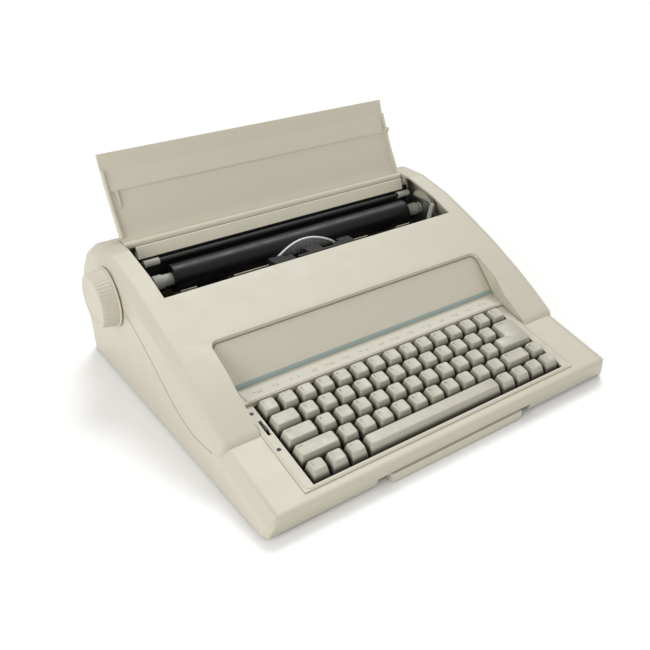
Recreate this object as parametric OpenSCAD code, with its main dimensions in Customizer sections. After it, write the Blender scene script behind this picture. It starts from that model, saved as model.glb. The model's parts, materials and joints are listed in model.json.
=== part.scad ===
// Portable electronic daisy-wheel typewriter, lid open, keyboard at the front.
// X runs to the user's right, Y to the rear, Z up from the table.

/* [Case] */
// Width of the case
body_w = 394; // [380:1:410]
// Y of the front lip
front_y = -187; // [-190:1:-180]
// Y of the back wall
back_y = 187; // [180:1:200]
// Wall thickness of the casings
wall = 2.5; // [2:0.1:3]
// Height of the rubber feet under the case
foot_h = 3; // [2:0.5:4]
// Radius along the top edges of the cover
edge_r = 11; // [8:0.5:14]
// Half the width of the opening under the lid
opening_half = 170; // [160:0.5:172]
// Front edge of the opening
opening_front = 30; // [28:0.5:32]
// Half the width of the sunken panel behind the keys
recess_half = 157; // [150:0.5:158]
// Radius of the two front corners, seen from above
front_r = 14; // [10:1:24]

/* [Keyboard] */
// Slope of the keyboard in degrees
key_slope = 13; // [11:0.5:15]
// Distance from one key to the next
key_pitch = 19.05; // [18.8:0.05:19.3]
// Left end of the key field
key_left = -146; // [-150:0.5:-142]
// Front of the key field
key_front = -174; // [-176:0.5:-172]
// Height of the bezel at the front of the key field
key_base = 28.6; // [27:0.1:30]
// How far a key top stands above the bezel
key_rise = 6.2; // [5:0.1:8]
// Gap between two key skirts
key_gap = 2.2; // [0.8:0.1:2.4]
// Travel of a key
key_travel = 3; // [2:0.1:3.2]

/* [Lid] */
// Y of the lid's hinge axis
lid_y = 120; // [118:0.5:122]
// Z of the lid's hinge axis
lid_z = 132.5; // [131:0.5:134]
// Angle by which the lid stands open
lid_open = 127.6; // [0:0.1:130]

/* [Platen] */
// Y of the platen's axis
platen_y = 95; // [94:0.5:96]
// Z of the platen's axis
platen_z = 98; // [97:0.5:99]
// Radius of the platen's rubber
platen_r = 14; // [13:0.1:15]
// Left end of the rubber
platen_x0 = -135; // [-140:1:-130]
// Right end of the rubber
platen_x1 = 156; // [150:1:157]
// Radius of the knob's skirt
knob_r = 29.5; // [26:0.5:31]
// How far the knob stands out from the case
knob_len = 18; // [14:0.5:22]

/* [Carriage] */
// X of the carriage's centre at rest
carriage_x = 11; // [-20:1:30]
// Radius of the two carriage rails
rail_r = 4; // [3:0.5:5]
// Radius of the print wheel
wheel_r = 32; // [30:0.5:34]

/* [Handle] */
// Width of the pull-out carrying handle
handle_w = 152; // [130:1:160]

/* [Hidden] */

$fn = 48;
half_w = body_w / 2;
floor_z = foot_h;
tan_slope = tan(key_slope);
slack = 0.3;            // gap between two pieces that move past each other
rear_r = 12;            // radius of the two rear corners, seen from above
row_units = 15;         // key field width in key pitches
rows = 5;
field_w = row_units * key_pitch;
field_d = rows * key_pitch;
well_margin = 1.2;      // gap round the key field
well_rear_y = key_front + (field_d + well_margin) * cos(key_slope);
deck_end_y = well_rear_y + 2;
deck_drop = 1.5;        // the deck lies this far below the bezel
bezel_t = 2.5;
strip_z = 53.5;         // height of the legend strip behind the keys
panel_foot_y = -60;     // where the sunken panel starts to climb
groove_y = -27;         // where the sunken panel meets the cover
groove_z = 89.5;
groove_step = 1.6;      // the panel starts this far below the cover
opening_rear = lid_y + 7.8;   // leaves room for the lid as it turns
frame_x0 = -160;        // inner faces of the two side frames
frame_x1 = 179;
frame_t = 1.6;
parting_low = 32;       // lowest and highest level of the seam between cover and case
parting_high = 96;
parting_rear = 78;      // the seam falls to this level at the back wall
parting_fall = 150;     // where it starts to fall
parting_start = -72;
parting_span = 155;
wheel_y = platen_y - platen_r - 4.6;
wheel_z = platen_z - 30;
hammer_z = platen_z - 2.5;
rail_front = [46, 50];
rail_back = [66, 32];
belt_y = 34;
belt_z = 24;
pulley_r = 8;
pulley_x0 = -144;
pulley_x1 = 165;
gear_teeth = 50;
pinion_teeth = 20;
gear_module = 0.8;
gear_r = gear_module * gear_teeth / 2;
pinion_r = gear_module * pinion_teeth / 2;
pinion_angle = -122.4;  // direction from the platen gear to the pinion, a whole number of teeth
pinion_y = platen_y + (gear_r + pinion_r) * cos(pinion_angle);
pinion_z = platen_z + (gear_r + pinion_r) * sin(pinion_angle);
roller_r = 5;
roller_d = platen_r + roller_r + slack;
bail_pivot = [110, 96];
lever_pivot = [59, 88];
stub_r = 1.45;           // pivot stubs, and the holes they turn in
stub_hole_r = 1.5;
roller_shaft_r = 1.8;
bail_pos = [110, 113.5];
roller_angle = -50;     // pressure rollers, seen from the platen
roller_y = platen_y + roller_d * cos(roller_angle);
roller_z = platen_z + roller_d * sin(roller_angle);

// ---------------------------------------------------------------- helpers

function deck_z(y) = key_base + (y - key_front) * tan_slope;
function ease(t) = t < 0 ? 0 : t > 1 ? 1 : (1 - cos(180 * t)) / 2;
function seam_z(y) = parting_low + (parting_high - parting_low) * ease((y - parting_start) / parting_span);
function polar(a) = [cos(a), sin(a)];
function arc(c, r, a0, a1, n) = [for (i = [0:n]) c + r * polar(a0 + (a1 - a0) * i / n)];

// Extrudes an outline given in (y, z) along X, from x0 to x1
module along_x(x0, x1) {
  translate([x0, 0, 0]) rotate([90, 0, 90]) linear_extrude(x1 - x0) children();
}

// A rod along X
module rod_x(x0, x1, y, z, r) {
  translate([x0, y, z]) rotate([0, 90, 0]) cylinder(h = x1 - x0, r = r);
}

// A rod along Y
module rod_y(x, y0, y1, z, r) {
  translate([x, y0, z]) rotate([-90, 0, 0]) cylinder(h = y1 - y0, r = r);
}

// A box given by its two corners
module block(a, b) {
  translate(a) cube(b - a);
}

// The keyboard's own frame: x right, y up the slope, z square to the bezel
module on_keyboard() {
  translate([key_left, key_front, key_base]) rotate([key_slope, 0, 0]) children();
}

// ---------------------------------------------------------------- casings

// Rounded rectangle in plan, with its own radius at the two front corners
module plan(x, y0, y1, r, fr) {
  translate([-x, y0 + fr]) square([2 * x, y1 - y0 - r - fr]);
  translate([-x + fr, y0]) square([2 * (x - fr), fr + 1]);
  translate([-x + r, y1 - r - 1]) square([2 * (x - r), r + 1]);
  for (s = [-1, 1]) {
    translate([s * (x - fr), y0 + fr]) circle(fr);
    translate([s * (x - r), y1 - r]) circle(r);
  }
}

// Side outline of the lower case: lip, deck, drop behind the keys, seam, back wall
module case_side(g) {
  lip_r = 5;
  lip_c = [front_y + lip_r, deck_z(front_y + lip_r) - deck_drop - lip_r / cos(key_slope)];
  polygon(concat(
    [[front_y + 5 + g, floor_z + g]],
    arc(lip_c, lip_r - g, 184, 90 + key_slope, 8),
    [
      [deck_end_y - g, deck_z(deck_end_y - g) - deck_drop - g / cos(key_slope)],
      [deck_end_y - g, seam_z(deck_end_y) - slack]
    ],
    [for (y = [-70:5:85]) [y, seam_z(y) - slack]],
    [
      [parting_fall, parting_high - slack], [back_y - g, parting_rear - slack],
      [back_y - g, floor_z + g]
    ]
  ));
}

// Solid envelope of the lower case, g smaller all round
module case_envelope(g) {
  deck_r = 13 - g;
  side = half_w - g + 0.05;   // just outside the side walls
  intersection() {
    along_x(-half_w - 1, half_w + 1) case_side(g);
    linear_extrude(200) plan(half_w - g, front_y + g, back_y - g, rear_r - g, front_r - g);
    union() {
      block([-half_w - 1, deck_end_y - g, 0], [half_w + 1, back_y, 200]);
      // the deck's side edges are rounded along the slope
      translate([0, key_front, key_base - deck_drop]) rotate([key_slope, 0, 0]) {
        rotate([-90, 0, 0]) translate([0, 0, -40]) linear_extrude(180) {
          translate([-side + deck_r, g]) square([2 * (side - deck_r), 60]);
          translate([-side, g + deck_r]) square([2 * side, 60]);
          for (s = [-1, 1]) translate([s * (side - deck_r), g + deck_r]) circle(deck_r);
        }
      }
    }
  }
}

screw_x = [-170, 170];
screw_y = [-60, 140];
board_z = 18;
board_t = 1.6;
board_top = board_z + board_t;
board_holes_x = [-114, 94];
board_holes_y = [-54, 16];
grip_y0 = front_y + 1;   // the grip
grip_y1 = front_y + 11;
grip_z0 = 1.2;
grip_z1 = 9.5;
arm_end_y = -104;
arm_w = 12;
arm_z0 = 5.8;            // the arms slide in channels above the floor
arm_z1 = 9.2;
notch_end = handle_w / 2 + 14;   // the grip's pocket with the two finger notches
pocket_roof = 10.5;

// A box round one arm of the handle, g wider on both sides
module arm_box(side, z0, y1, z1, g) {
  x = side * (handle_w / 2 - arm_w / 2);
  block([x - arm_w / 2 - g, front_y + 5, z0], [x + arm_w / 2 + g, y1, z1]);
}

module lower_case() {
  color([0.83, 0.81, 0.73]) difference() {
    case_envelope(0);
    difference() {
      // cavity, open behind the deck
      union() {
        case_envelope(wall);
        translate([0, 0, floor_z + wall]) linear_extrude(200) intersection() {
          plan(half_w - wall, front_y + wall, back_y - wall, rear_r - wall, front_r - wall);
          translate([-half_w, deck_end_y - wall]) square([body_w, 2 * back_y]);
        }
      }
      // walls round the handle's pocket and channels
      block([-notch_end - wall, front_y, 0], [notch_end + wall, grip_y1 + 2 + wall, pocket_roof + 2]);
      for (s = [-1, 1]) arm_box(s, 0, arm_end_y + 2 + wall, pocket_roof + 2, wall);
    }
    // pocket of the grip with a finger notch at each end
    block([-notch_end, front_y - 5, -1], [notch_end, grip_y1 + 2, pocket_roof]);
    for (s = [-1, 1]) arm_box(s, arm_z0 - slack, arm_end_y + 2, arm_z1 + slack, 0.5);
    // the well under the keys
    on_keyboard() block([-9, -2.6, -12], [field_w + 9, field_d + 20, 9]);
    // knob spindle, mains inlet and switch
    rod_x(-half_w - 1, -half_w + 9, platen_y, platen_z, 9);
    block([-160, back_y - 4, 30], [-132, back_y + 1, 50]);
    block([half_w - 4, switch_y - 10, 40], [half_w + 1, switch_y + 10, 52]);
    // vents in the floor
    for (i = [0:7]) block([-150 + 9 * i, 60, 0], [-146 + 9 * i, 110, 9]);
    // screw holes
    for (x = screw_x, y = screw_y) translate([x, y, 0]) cylinder(h = 10, r = 2.2);
  }
  // posts under the main board
  color([0.83, 0.81, 0.73]) for (x = board_holes_x, y = board_holes_y) {
    translate([x, y, floor_z + wall]) cylinder(h = board_z - floor_z - wall, r = 3);
  }
}

// Centres of the balls that round the cover, one side, front to back
cover_line = [
  [-98, 30], [-101.5, 38], [-80, 51.5], [-54, 66], [-16, 84.6], [24, 101], [62, 115],
  [104, 124.6], [134, 125], [153, 113], [170, 92], [176, 74], [176, 30]
];

module cover_solid(r) {
  hull() for (s = [-1, 1], c = cover_line) {
    translate([s * (half_w - edge_r), c[0], c[1]]) sphere(r, $fn = 32);
  }
}

// Space over the sunken panel and the keys, grown by g
module recess(g) {
  corner = 7;
  intersection() {
    along_x(-half_w, half_w) polygon([
      [groove_y + g * 0.4, groove_z - groove_step - g * 1.1], [groove_y + g * 0.4, 160], [-150, 160],
      [-150, 20], [well_rear_y + 0.2, 20], [well_rear_y + 0.2, strip_z - g],
      [panel_foot_y, strip_z - g]
    ]);
    translate([0, 0, 10]) linear_extrude(200) polygon(concat(
      arc([-recess_half + corner, groove_y - corner], corner + g, 180, 90, 6),
      arc([recess_half - corner, groove_y - corner], corner + g, 90, 0, 6),
      [
        [recess_half + g, panel_foot_y], [key_left + field_w + 12 + g, well_rear_y],
        [key_left + field_w + 12 + g, -150], [key_left - 12 - g, -150],
        [key_left - 12 - g, well_rear_y + 0.5], [-recess_half - g, panel_foot_y]
      ]
    ));
  }
}

// Holes for the lid's pins in the ends of the opening
module lid_bores() {
  for (s = [-1, 1]) {
    x = s * (opening_half + 3);
    rod_x(x - 3.5, x + 3.5, lid_y, lid_z, stub_hole_r);
  }
}

module upper_cover() {
  color([0.86, 0.84, 0.77]) difference() {
    cover_solid(edge_r);
    difference() {
      cover_solid(edge_r - wall);
      recess(wall);
    }
    recess(0);
    // the case below the seam
    case_envelope(0);
    along_x(-half_w - 1, half_w + 1) polygon(concat(
      [[-130, -10], [-130, deck_z(-130)], [parting_start, parting_low]],
      [for (y = [-70:5:85]) [y, seam_z(y)]],
      [
        [parting_fall, parting_high], [back_y, parting_rear],
        [back_y + 5, parting_rear], [back_y + 5, -10]
      ]
    ));
    // opening for the platen and the carriage
    block([-opening_half, opening_front, 90], [opening_half, opening_rear, 200]);
    rod_x(-half_w - 1, -half_w + 13, platen_y, platen_z, 9);
    lid_bores();
  }
  // lugs that hold the lid's pins
  color([0.86, 0.84, 0.77]) for (s = [-1, 1]) difference() {
    translate([s * (opening_half + 3), 0, 0]) along_x(-1.5, 1.5)
      polygon([[112, 126], [126, 126], [132, 135], [112, 135]]);
    lid_bores();
  }
}

module rubber_feet() {
  color([0.15, 0.15, 0.15]) {
    for (x = [-165, 165], y = [-150, 160]) translate([x, y, 0]) cylinder(h = foot_h, r = 9);
    // one foot in the middle keeps the floor from sagging
    cylinder(h = foot_h, r = 9);
  }
}

module case_screws() {
  color([0.6, 0.6, 0.62]) for (x = screw_x, y = screw_y) translate([x, y, 0]) {
    translate([0, 0, foot_h - 1.2]) cylinder(h = 1.2, r = 3.4);
    translate([0, 0, foot_h - 0.5]) cylinder(h = 14, r = 1.6);
  }
}

// ---------------------------------------------------------------- keyboard

bezel_m = 11;           // margin of the bezel beside the well
module keyboard_bezel() {
  rear = field_d + well_margin + 0.6;
  color([0.84, 0.82, 0.74]) on_keyboard() difference() {
    union() {
      block([-bezel_m, -4.5, -deck_drop * cos(key_slope)], [field_w + bezel_m, rear, 0]);
      block([-8.7, -2.3, -bezel_t], [field_w + 8.7, rear, -1]);
      // bosses that carry the plate under the keys
      for (x = [-5, field_w + 5], y = [10, 88]) {
        translate([x, y, plate_z]) cylinder(h = -plate_z - 1, r = 1.8);
      }
    }
    block([-well_margin, -well_margin, -9], [field_w + well_margin, field_d + well_margin, 9]);
    // slot for the slider beside the second row
    block([-6.4, 60, -9], [-3.2, 78, 9]);
    for (y = [45, 90]) translate([-6.5, y - 2, -9]) cylinder(h = 20, r = 1.1);
  }
}

module legend_strip() {
  color([0.80, 0.79, 0.73])
    block([key_left - 4, well_rear_y + 1.6, strip_z],
      [key_left + field_w + 4, panel_foot_y - 2.5, strip_z + 0.6]);
}

panel_rise = atan((groove_z - strip_z) / (groove_y - panel_foot_y));
module accent_stripe() {
  color([0.45, 0.56, 0.52])
    translate([0, panel_foot_y, strip_z]) rotate([panel_rise, 0, 0])
      block([-recess_half + 0.5, 1.2, 0], [recess_half - 0.5, 7.4, 0.6]);
}

plate_z = -8.6;         // top of the plate that guides the stems
plate_t = 1.2;
sheet_z = -12.9;        // top of the dome sheet
stem_r = 2.4;
stem_end = -9.7;
stem_len = 6.7;

// Every key: its left edge, its row from the front, its width in key pitches
front_left = [for (i = [0:2]) [i, 0, 1]];
front_right = [for (i = [11:14]) [i, 0, 1]];
lower_row = [for (i = [0:9]) [2.25 + i, 1, 1]];
home_row = [for (i = [0:10]) [1.75 + i, 2, 1]];
upper_row = [for (i = [0:11]) [1.5 + i, 3, 1]];
number_left = [for (i = [0:6]) [i, 4, 1]];
number_right = [for (i = [7:14]) [i, 4, 1]];
long_keys = [
  [0, 3, 1.5], [0, 2, 1.75], [0, 1, 2.25], [12.25, 1, 1.75], [14, 1, 1], [12.75, 2, 2.25], [3, 0, 8]
];
all_keys = concat(
  front_left, front_right, lower_row, home_row, upper_row, number_left, number_right, long_keys
);

module stem_holes() {
  for (k = all_keys) translate([(k[0] + k[2] / 2) * key_pitch, (k[1] + 0.5) * key_pitch, -20]) {
    cylinder(h = 20, r = stem_r + slack, $fn = 24);
  }
}

module key_support_plate() {
  color([0.25, 0.25, 0.26]) on_keyboard() difference() {
    block([-7, -1, plate_z - plate_t], [field_w + 7, field_d + 2, plate_z]);
    stem_holes();
  }
}

module dome_sheet() {
  color([0.55, 0.55, 0.50]) on_keyboard() {
    block([-7, -0.5, sheet_z - 1.4], [field_w + 7, field_d + 2, sheet_z]);
    // side rims that carry the plate
    for (x = [-7, field_w + 5]) block([x, -0.5, sheet_z], [x + 2, field_d + 2, plate_z - plate_t]);
  }
}

// A sloping cap on a skirt, w key pitches wide, d deep
module cap(x, row, w, d = 1) {
  g = key_gap / 2;
  inset = 3;
  front_inset = row == 0 ? 5.5 : 4.2;
  u = w * key_pitch;
  v = d * key_pitch;
  translate([x * key_pitch, row * key_pitch, 0]) {
    hull() {
      block([g, g, -5], [u - g, v - g, -2.5]);
      block([inset, front_inset, key_rise - 0.4], [u - inset, v - 2, key_rise]);
    }
  }
}

module stem(x, row, w) {
  translate([(x + w / 2) * key_pitch, (row + 0.5) * key_pitch, stem_end])
    cylinder(h = stem_len, r = stem_r, $fn = 24);
}

module keys(list) {
  color([0.78, 0.77, 0.70]) on_keyboard() for (k = list) {
    cap(k[0], k[1], k[2]);
    stem(k[0], k[1], k[2]);
  }
}

module number_keys_left() { keys(number_left); }
module number_keys_right() { keys(number_right); }
module upper_row_keys() { keys(upper_row); }
module home_row_keys() { keys(home_row); }
module lower_row_keys() { keys(lower_row); }
module front_left_keys() { keys(front_left); }
module front_right_keys() { keys(front_right); }
module tab_key() { keys([long_keys[0]]); }
module caps_lock_key() { keys([long_keys[1]]); }
module left_shift_key() { keys([long_keys[2]]); }
module right_shift_key() { keys([long_keys[3]]); }
module repeat_key() { keys([long_keys[4]]); }
module space_bar() { keys([long_keys[6]]); }

// The return key is L-shaped and covers two rows
module return_key() {
  color([0.78, 0.77, 0.70]) on_keyboard() {
    cap(12.75, 2, 2.25);
    cap(13.5, 2, 1.5, 2);
    stem(12.75, 2, 2.25);
  }
}

module pitch_slider() {
  color([0.12, 0.12, 0.12]) on_keyboard() {
    block([-6, 64.5, -6], [-3.6, 70.5, 1.4]);
    block([-8, 62, -6.6], [-1.8, 73, -4]);
  }
}

// ---------------------------------------------------------------- electronics

module main_board() {
  color([0.10, 0.35, 0.18]) difference() {
    block([-120, -60, board_z], [100, 22, board_top]);
    for (x = board_holes_x, y = board_holes_y) translate([x, y, 10]) cylinder(h = 20, r = 1.6);
  }
  color([0.08, 0.08, 0.08]) {
    block([-80, -40, board_top], [-28, -24, 23.5]);
    block([-10, -40, board_top], [42, -24, 23.5]);
    for (i = [0:3]) block([-90 + 30 * i, -8, board_top], [-70 + 30 * i, 0, 23]);
  }
  color([0.2, 0.25, 0.5]) for (x = [70, 84], y = [-40, -20]) {
    translate([x, y, board_top]) cylinder(h = 14, r = 5);
  }
}

module transformer() {
  color([0.3, 0.3, 0.32]) {
    block([-100, 138, floor_z + wall], [-54, 176, 46]);
    block([-91, 130, floor_z + wall + 6], [-63, 183, 40]);
  }
}

module power_inlet() {
  color([0.06, 0.06, 0.06]) difference() {
    union() {
      block([-159.6, 168, 30.4], [-132.4, back_y - 1, 49.6]);
      block([-163, back_y, 27], [-129, back_y + 1.5, 53]);
      block([-159.6, back_y - 1, 30.4], [-132.4, back_y, 49.6]);
    }
    block([-156, 174, 34], [-136, back_y + 2, 46]);
  }
}

switch_y = 130;
module power_switch() {
  color([0.05, 0.05, 0.05]) translate([half_w - 6, switch_y, 41.2]) {
    rotate([0, 0, 6]) linear_extrude(9.6)
      polygon([[7.2, -9], [6.2, 0], [7.2, 9], [2, 9.2], [-3, 4], [-3, -4], [2, -9.2]]);
    translate([0, 0, -1.5]) cylinder(h = 12.6, r = 1.4);
  }
}

// ---------------------------------------------------------------- print mechanism

// A side frame of sheet steel with holes for the shafts
module side_frame(x) {
  difference() {
    along_x(x, x + frame_t) polygon([
      [28, 8], [126, 8], [126, 90], [116, 104], [108, 110], [84, 110], [66, 100], [50, 94], [28, 60]
    ]);
    rod_x(x - 1, x + frame_t + 1, platen_y, platen_z, 6.5);
    rod_x(x - 1, x + frame_t + 1, rail_front[0], rail_front[1], rail_r);
    rod_x(x - 1, x + frame_t + 1, rail_back[0], rail_back[1], rail_r);
    rod_x(x - 1, x + frame_t + 1, bail_pivot[0], bail_pivot[1], stub_hole_r);
    rod_x(x - 1, x + frame_t + 1, lever_pivot[0], lever_pivot[1], stub_hole_r);
    rod_x(x - 1, x + frame_t + 1, pinion_y, pinion_z, 3);
    rod_x(x - 1, x + frame_t + 1, roller_y, roller_z, roller_shaft_r + 0.06);
  }
}

module left_side_frame() {
  color([0.62, 0.63, 0.64]) side_frame(frame_x0 - frame_t);
  color([0.62, 0.63, 0.64]) block([frame_x0 - 12, 28, floor_z + wall], [frame_x0 - frame_t, 126, 8]);
  // seat of the carriage motor
  color([0.62, 0.63, 0.64]) difference() {
    block([frame_x0, belt_y + 6.2, 8], [frame_x0 + 32, belt_y + 8, 40]);
    rod_y(pulley_x0, belt_y, belt_y + 20, belt_z, 2.1);
  }
}

module right_side_frame() {
  color([0.62, 0.63, 0.64]) side_frame(frame_x1);
  color([0.62, 0.63, 0.64]) block([frame_x1 + frame_t, 28, floor_z + wall], [frame_x1 + 12, 126, 8]);
  // seat of the idler pulley
  color([0.62, 0.63, 0.64]) difference() {
    block([frame_x1 - 24, belt_y + 10.5, 14], [frame_x1, belt_y + 12.5, 34]);
    rod_y(pulley_x1, belt_y, belt_y + 20, belt_z, 2.05);
  }
}

module front_rail() {
  color([0.8, 0.8, 0.82])
    rod_x(frame_x0 - frame_t, frame_x1 + frame_t, rail_front[0], rail_front[1], rail_r);
}

module rear_rail() {
  color([0.8, 0.8, 0.82])
    rod_x(frame_x0 - frame_t, frame_x1 + frame_t, rail_back[0], rail_back[1], rail_r);
}

module paper_chute() {
  color([0.66, 0.66, 0.57]) along_x(frame_x0, frame_x1) polygon([
    [116.4, 125.6], [114.6, 112], [117, 104], [118.4, 104], [116, 112], [118, 125.6]
  ]);
}

roller_places = [-95, 10, 115];
pan_r = platen_r + 2.2;
module paper_pan() {
  c = [platen_y, platen_z];
  color([0.55, 0.56, 0.57]) difference() {
    along_x(platen_x0 + 2, platen_x1 - 2)
      polygon(concat(arc(c, pan_r, -20, -150, 26), arc(c, pan_r + 1, -150, -20, 26)));
    for (x = roller_places) block([x - 21, 70, 70], [x + 21, 117, 92]);
  }
  // a ledge and a cross plate tie the pan to the side frames
  color([0.55, 0.56, 0.57]) difference() {
    block([platen_x0 + 2, 107.6, 86], [platen_x1 - 2, 117.6, 87.4]);
    for (x = roller_places) block([x - 21, 70, 70], [x + 21, 117, 92]);
  }
  color([0.55, 0.56, 0.57]) block([frame_x0, 117.4, 84], [frame_x1, 118.8, 104]);
}

module line_feed_motor() {
  color([0.35, 0.35, 0.37]) difference() {
    rod_x(frame_x1 - 19, frame_x1, pinion_y, pinion_z, 13.5);
    rod_x(frame_x1 - 19.5, frame_x1 + 1, pinion_y, pinion_z, 2.1);
  }
}

module carriage_motor() {
  color([0.35, 0.35, 0.37]) difference() {
    rod_y(pulley_x0, belt_y + 8, belt_y + 26, belt_z, 14);
    rod_y(pulley_x0, belt_y + 7, belt_y + 27, belt_z, 2.1);
  }
}

belt_t = 1.2;
module belt_loop(r) {
  translate([pulley_x0, belt_z - r]) square([pulley_x1 - pulley_x0, 2 * r]);
  for (x = [pulley_x0, pulley_x1]) translate([x, belt_z]) circle(r);
}

module carriage_belt() {
  color([0.08, 0.08, 0.08]) translate([0, belt_y + 3, 0]) rotate([90, 0, 0]) linear_extrude(6) difference() {
    belt_loop(pulley_r + slack + belt_t);
    belt_loop(pulley_r + slack);
  }
}

module pulley(x, back) {
  rod_y(x, belt_y - 4, belt_y + 4, belt_z, pulley_r);
  rod_y(x, belt_y - 5, belt_y - 4, belt_z, pulley_r + 2);
  rod_y(x, belt_y - 8, belt_y + back, belt_z, 2);
}

module drive_pulley() { color([0.75, 0.75, 0.7]) pulley(pulley_x0, 24); }
module idler_pulley() { color([0.75, 0.75, 0.7]) pulley(pulley_x1, 13); }

module lid_hinge_pins() {
  color([0.7, 0.7, 0.72]) for (s = [-1, 1]) {
    x = s * (opening_half - 1.5);
    rod_x(x - 6.4, x + 6.4, lid_y, lid_z, stub_r);
  }
}

module platen_bushes() {
  color([0.85, 0.85, 0.82]) for (x = [frame_x0 - 4, frame_x1 - 0.8]) difference() {
    rod_x(x, x + 4.8, platen_y, platen_z, 6.45);
    rod_x(x - 1, x + 6, platen_y, platen_z, 4.05);
  }
}

// ---------------------------------------------------------------- lid

// Outside of the closed lid, from the hinge barrel to the free edge
lid_line = [[120, 136.2], [112, 136], [102, 135.2], [84, 131.1], [62, 126], [47, 121], [30.8, 115]];
lid_t = 2.4;
module lid_shape() {
  inner = [for (i = [len(lid_line) - 1:-1:0]) lid_line[i] + [i == len(lid_line) - 1 ? 1 : 0.6, -lid_t]];
  along_x(-opening_half + 0.8, opening_half - 0.8) polygon(concat(lid_line, inner));
  rod_x(-opening_half + 0.8, opening_half - 0.8, lid_y, lid_z, 3.7);
  // stiffening lips along the two sides
  for (s = [-1, 1]) translate([s * (opening_half - 2), 0, 0]) along_x(-1.2, 1.2)
    polygon([[112, 134.5], [84, 129.5], [47, 119.5], [47, 115.5], [84, 125.5], [112, 130]]);
}

module top_lid() {
  color([0.80, 0.78, 0.70])
    translate([0, lid_y, lid_z]) rotate([-lid_open, 0, 0]) translate([0, -lid_y, -lid_z]) difference() {
      lid_shape();
      rod_x(-opening_half - 1, -opening_half + 10, lid_y, lid_z, stub_hole_r);
      rod_x(opening_half - 10, opening_half + 1, lid_y, lid_z, stub_hole_r);
    }
}

// ---------------------------------------------------------------- platen and paper path

collar_r = 9.5;
collar_w = 19.3;
module platen_roller() {
  color([0.06, 0.06, 0.07]) difference() {
    rod_x(platen_x0, platen_x1, platen_y, platen_z, platen_r);
    rod_x(platen_x0 - 1, platen_x1 + 1, platen_y, platen_z, 4);
  }
}

module platen_shaft() {
  color([0.75, 0.75, 0.77]) rod_x(-half_w - knob_len + 8, frame_x1 + 11, platen_y, platen_z, 4);
}

module platen_collars() {
  color([0.75, 0.75, 0.72]) for (x = [platen_x0 - collar_w - 0.2, platen_x1 + 0.2]) difference() {
    rod_x(x, x + collar_w, platen_y, platen_z, collar_r);
    rod_x(x - 1, x + collar_w + 1, platen_y, platen_z, 4);
  }
}

module platen_knob() {
  outer = knob_r - 3;
  color([0.82, 0.80, 0.72]) translate([-half_w - 1, platen_y, platen_z]) rotate([0, -90, 0]) difference() {
    union() {
      cylinder(h = 1.5, r = knob_r, $fn = 72);
      translate([0, 0, 1.5]) cylinder(h = knob_len - 3.5, r1 = knob_r - 1, r2 = outer, $fn = 72);
      translate([0, 0, knob_len - 2]) cylinder(h = 1.6, r1 = outer, r2 = outer - 1.6, $fn = 72);
      translate([0, 0, -9]) cylinder(h = 9.5, r = 8);
    }
    translate([0, 0, -10]) cylinder(h = knob_len + 1, r = 4);
    translate([0, 0, knob_len - 1.6]) cylinder(h = 4, r = outer - 7, $fn = 72);
  }
}

// A spur gear round X at the origin: its first tooth points along angle a
module gear(teeth, r, width, a, bore) {
  pitch_angle = 360 / teeth;
  root = r - 1;
  tip = r + 0.6;
  rotate([90, 0, 90]) linear_extrude(width) difference() {
    union() {
      circle(root, $fn = 72);
      for (i = [0:teeth - 1]) rotate(a + i * pitch_angle) polygon([
        [root - 0.5, -0.62], [r, -0.42], [tip, -0.22], [tip, 0.22], [r, 0.42], [root - 0.5, 0.62]
      ]);
    }
    if (bore > 0) circle(bore);
  }
}

module platen_gear() {
  color([0.85, 0.83, 0.75]) translate([frame_x1 + 5, platen_y, platen_z])
    gear(gear_teeth, gear_r, 5, pinion_angle, 4);
}

module feed_pinion() {
  color([0.7, 0.6, 0.35]) translate([frame_x1 + 4.5, pinion_y, pinion_z])
    gear(pinion_teeth, pinion_r, 6, pinion_angle + 180 + 180 / pinion_teeth, 0);
  color([0.7, 0.7, 0.72]) rod_x(frame_x1 - 18, frame_x1 + 5, pinion_y, pinion_z, 2);
}

module pressure_rollers() {
  color([0.12, 0.12, 0.12]) for (x = roller_places) rod_x(x - 18, x + 18, roller_y, roller_z, roller_r);
  color([0.7, 0.7, 0.72]) rod_x(frame_x0 - frame_t, frame_x1 + frame_t, roller_y, roller_z, roller_shaft_r);
}

module bail_bar() {
  color([0.45, 0.46, 0.45]) rod_x(frame_x0 + 0.6, frame_x1 - 0.6, bail_pos[0], bail_pos[1], 2.6);
  // arms down to the pivots in the side frames
  color([0.45, 0.46, 0.45]) for (x = [frame_x0 + 0.6, frame_x1 - 2.1]) {
    block([x, bail_pos[0] - 3, bail_pivot[1] - 4], [x + 1.5, bail_pos[0] + 3, bail_pos[1] + 3]);
  }
  color([0.45, 0.46, 0.45]) {
    rod_x(frame_x0 - frame_t, frame_x0 + 1, bail_pivot[0], bail_pivot[1], stub_r);
    rod_x(frame_x1 - 1, frame_x1 + frame_t, bail_pivot[0], bail_pivot[1], stub_r);
  }
}

module bail_rollers() {
  color([0.8, 0.8, 0.78]) for (x = [frame_x0 + 4, frame_x1 - 20]) difference() {
    rod_x(x, x + 16, bail_pos[0], bail_pos[1], 3.6);
    rod_x(x - 1, x + 17, bail_pos[0], bail_pos[1], 2.62);
  }
}

module release_lever() {
  color([0.8, 0.79, 0.72]) {
    along_x(164, 166) translate(lever_pivot)
      polygon([[-4, -4], [3, -4], [2, 15], [-3, 31], [-8, 31], [-4, 14]]);
    rod_x(165, frame_x1 + frame_t, lever_pivot[0], lever_pivot[1], stub_r);
  }
}

// ---------------------------------------------------------------- carriage

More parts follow.
